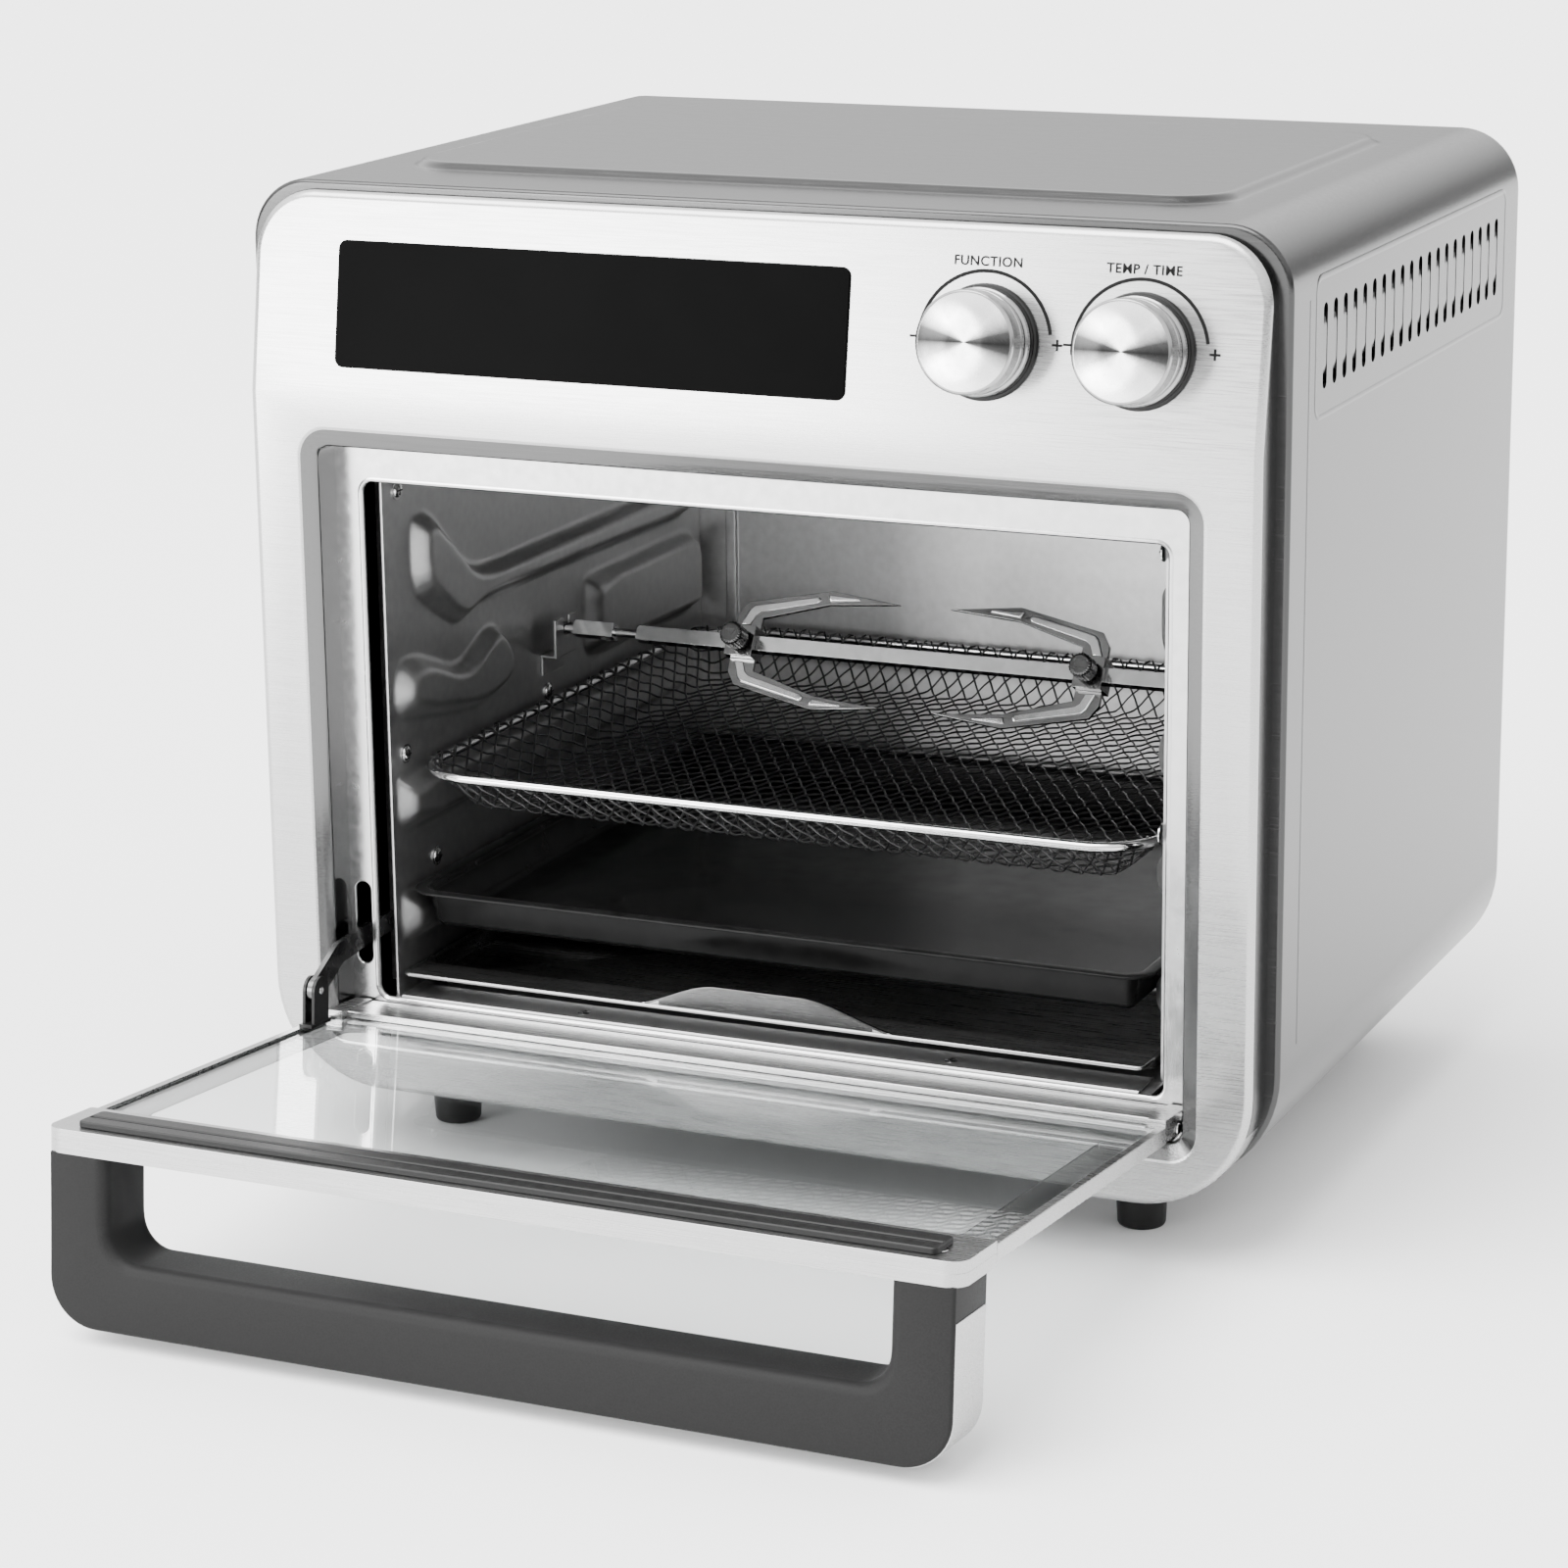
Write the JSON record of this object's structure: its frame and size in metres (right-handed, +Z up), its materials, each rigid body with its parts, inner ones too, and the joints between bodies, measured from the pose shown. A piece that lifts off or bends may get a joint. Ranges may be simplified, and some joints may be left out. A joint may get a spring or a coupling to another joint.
{
  "type": "rotisserie toaster oven",
  "caption": "Countertop convection oven with a drop-down glass door, control dials, a rotisserie spit with forks, a wire basket, a pan and a crumb tray.",
  "frame": {"origin": "on the floor, under the middle of the outline with the door open", "axes": "+X to the right as seen from the front, +Y to the back, +Z up"},
  "size_m": [0.41, 0.524, 0.3793],
  "materials": {
    "casing_steel": "brushed",
    "bezel_steel": "horizontal brushed",
    "galvanised": "plain zinc coated sheet",
    "cavity_sheet": "matt pressed aluminised sheet",
    "heater": "dull sheath",
    "chromed_wire": "bright plated",
    "spit_steel": "bright drawn",
    "fork_steel": "stamped",
    "screw_steel": "zinc plated",
    "mesh_steel": "woven wire",
    "black_enamel": "gloss enamel",
    "frame_sheet": "bright sheet",
    "tray_steel": "pressed sheet",
    "pane": "toughened, tinted",
    "door_steel": "brushed",
    "black_rubber": "silicone",
    "soft_grip": "soft touch",
    "handle_steel": "brushed strip",
    "black_plastic": "moulded",
    "dial_metal": "spun and anodised",
    "dial_collar": "moulded collar",
    "display": "smoked window",
    "board": "laminate with module",
    "motor_steel": "plated can",
    "spring_steel": "spring wire"
  },
  "bodies": {
    "oven": {"outer_casing": "casing_steel", "back_panel": "galvanised", "bottom_panel": "galvanised", "feet": "black_rubber", "chassis_screws": "screw_steel", "cord_gland": "black_plastic", "front_bezel": "bezel_steel", "cavity_front_frame": "frame_sheet", "cavity_screws": "screw_steel", "cavity_rear_wall": "cavity_sheet", "cavity_top": "cavity_sheet", "cavity_floor": "cavity_sheet", "cavity_left_wall": "cavity_sheet", "cavity_right_wall": "cavity_sheet", "fan_guard": "cavity_sheet", "fan_housing": "galvanised", "ring_heater": "heater", "fan_motor": "motor_steel", "lower_heaters": "heater", "temperature_sensor": "heater", "spit_bracket": "galvanised", "rotisserie_motor": "motor_steel", "hinge_supports": "galvanised", "door_spring": "spring_steel", "spring_anchor": "galvanised", "display_glass": "display", "control_board": "board", "encoders": "black_plastic", "dial_rings": "dial_collar"},
    "door": {"door_glass": "pane", "door_side_rails": "door_steel", "door_bottom_rail": "door_steel", "door_top_trim": "door_steel", "door_top_cover": "door_steel", "door_gasket": "black_rubber", "handle_core": "soft_grip", "handle_trim": "handle_steel", "handle_screws": "screw_steel", "hinge_blocks": "door_steel", "door_pins": "screw_steel", "door_lug": "black_plastic"},
    "link": {"link_arm": "galvanised"},
    "fan": {"convection_fan": "cavity_sheet"},
    "spit_drive": {"drive_socket": "spit_steel"},
    "spit": {"spit_rod": "spit_steel"},
    "left_fork": {"fork_left": "fork_steel"},
    "right_fork": {"fork_right": "fork_steel"},
    "left_thumb_screw": {"thumb_screw_left": "spit_steel"},
    "right_thumb_screw": {"thumb_screw_right": "spit_steel"},
    "basket": {"basket_rim": "chromed_wire", "basket_mesh": "mesh_steel"},
    "pan": {"baking_pan": "black_enamel"},
    "tray": {"crumb_tray": "tray_steel"},
    "function_button": {"plunger_function": "black_plastic"},
    "function_knob": {"function_dial": "dial_metal", "encoder_shaft_function": "spit_steel"},
    "time_button": {"plunger_time": "black_plastic"},
    "time_knob": {"time_dial": "dial_metal", "encoder_shaft_time": "spit_steel"}
  },
  "joints": [
    {"name": "door_hinge", "type": "hinge", "parent": "oven", "child": "door", "pos_m": [0, -0.0413, 0.056], "axis": [1, 0, 0], "range_deg": [-85, 0], "deforming": ["door_spring"]},
    {"name": "link_pivot", "type": "hinge", "parent": "door", "child": "link", "pos_m": [-0.1675, -0.0749, 0.0735], "axis": [1, 0, 0], "range_deg": [-0.5, 70]},
    {"name": "fan_spin", "type": "hinge", "parent": "oven", "child": "fan", "pos_m": [0, 0.1072, 0.29], "axis": [0, 0, 1], "continuous": true},
    {"name": "spit_spin", "type": "hinge", "parent": "oven", "child": "spit_drive", "pos_m": [0.15, 0.1042, 0.1786], "axis": [1, 0, 0], "continuous": true},
    {"name": "spit_end_play", "type": "slide", "parent": "spit_drive", "child": "spit", "axis": [-1, 0, 0], "range_m": [0, 0.003]},
    {"name": "left_fork_slide", "type": "slide", "parent": "spit", "child": "left_fork", "axis": [1, 0, 0], "range_m": [-0.035, 0.008]},
    {"name": "right_fork_slide", "type": "slide", "parent": "spit", "child": "right_fork", "axis": [1, 0, 0], "range_m": [-0.008, 0.03]},
    {"name": "left_thumb_screw_turn", "type": "hinge", "parent": "left_fork", "child": "left_thumb_screw", "pos_m": [-0.0668, 0.1042, 0.1786], "axis": [0, -0.8746, 0.4848], "range_deg": [0, 360]},
    {"name": "right_thumb_screw_turn", "type": "hinge", "parent": "right_fork", "child": "right_thumb_screw", "pos_m": [0.082, 0.1042, 0.1786], "axis": [0, -0.8746, 0.4848], "range_deg": [0, 360]},
    {"name": "basket_slide", "type": "slide", "parent": "oven", "child": "basket", "axis": [0, -1, 0], "range_m": [0, 0.25]},
    {"name": "pan_slide", "type": "slide", "parent": "oven", "child": "pan", "axis": [0, -1, 0], "range_m": [0, 0.25]},
    {"name": "tray_slide", "type": "slide", "parent": "oven", "child": "tray", "axis": [0, -1, 0], "range_m": [0, 0.045]},
    {"name": "function_press", "type": "slide", "parent": "oven", "child": "function_button", "axis": [0, 0.9882, -0.153], "range_m": [0, 0.0012], "stiffness_N_per_m": 1500, "springref_m": -0.0008},
    {"name": "function_turn", "type": "hinge", "parent": "function_button", "child": "function_knob", "pos_m": [0.0958, -0.04551, 0.33419], "axis": [0, -0.9882, 0.153], "continuous": true},
    {"name": "time_press", "type": "slide", "parent": "oven", "child": "time_button", "axis": [0, 0.9882, -0.153], "range_m": [0, 0.0012], "stiffness_N_per_m": 1500, "springref_m": -0.0008},
    {"name": "time_turn", "type": "hinge", "parent": "time_button", "child": "time_knob", "pos_m": [0.1535, -0.04551, 0.33419], "axis": [0, -0.9882, 0.153], "continuous": true}
  ],
  "couplings": [
    {"joint": "link_pivot", "follows": "door_hinge", "ratio": -0.81176}
  ]
}
